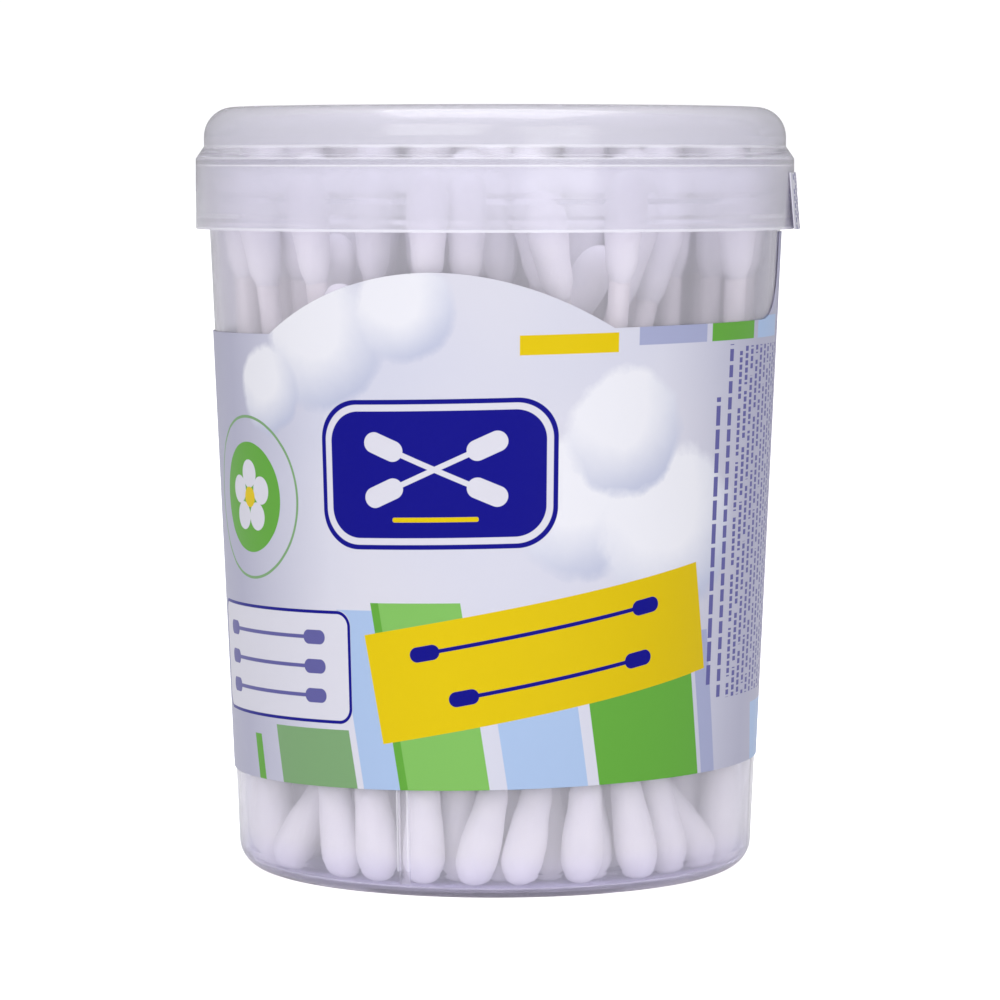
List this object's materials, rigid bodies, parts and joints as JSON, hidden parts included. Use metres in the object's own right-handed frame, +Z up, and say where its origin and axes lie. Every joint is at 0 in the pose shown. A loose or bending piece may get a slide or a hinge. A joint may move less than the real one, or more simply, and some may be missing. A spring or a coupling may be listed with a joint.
{
  "type": "cotton swab tub",
  "caption": "Round clear plastic tub with a milky press-on lid, a printed wrap label and upright double-ended cotton swabs inside.",
  "frame": {"origin": "centre of the foot ring, on the surface the tub stands on", "axes": "Z up along the tub's axis, -Y faces the middle of the label's front arch"},
  "size_m": [0.0658, 0.0652, 0.0828],
  "materials": {
    "clear_plastic": "clear moulded polypropylene, slightly hazy",
    "milky_plastic": "milky translucent moulded polypropylene",
    "label_film": "satin printed film in pale lilac white with colour fields",
    "rolled_paper": "matt white rolled paper",
    "cotton_wool": "soft wound cotton"
  },
  "bodies": {
    "filled_tub": {"tub": "clear_plastic", "label": "label_film", "swab_sticks_ring_1": "rolled_paper", "swab_sticks_ring_2": "rolled_paper", "swab_sticks_ring_3": "rolled_paper", "swab_sticks_ring_4": "rolled_paper", "swab_sticks_ring_5": "rolled_paper", "swab_sticks_ring_6": "rolled_paper", "swab_cotton_ring_1": "cotton_wool", "swab_cotton_ring_2": "cotton_wool", "swab_cotton_ring_3": "cotton_wool", "swab_cotton_ring_4": "cotton_wool", "swab_cotton_ring_5": "cotton_wool", "swab_cotton_ring_6": "cotton_wool"},
    "closure": {"lid": "milky_plastic", "lid_seal": "label_film"}
  },
  "joints": [
    {"name": "lid_lift", "type": "slide", "parent": "filled_tub", "child": "closure", "axis": [0, 0, 1], "range_m": [0, 0.04]}
  ]
}
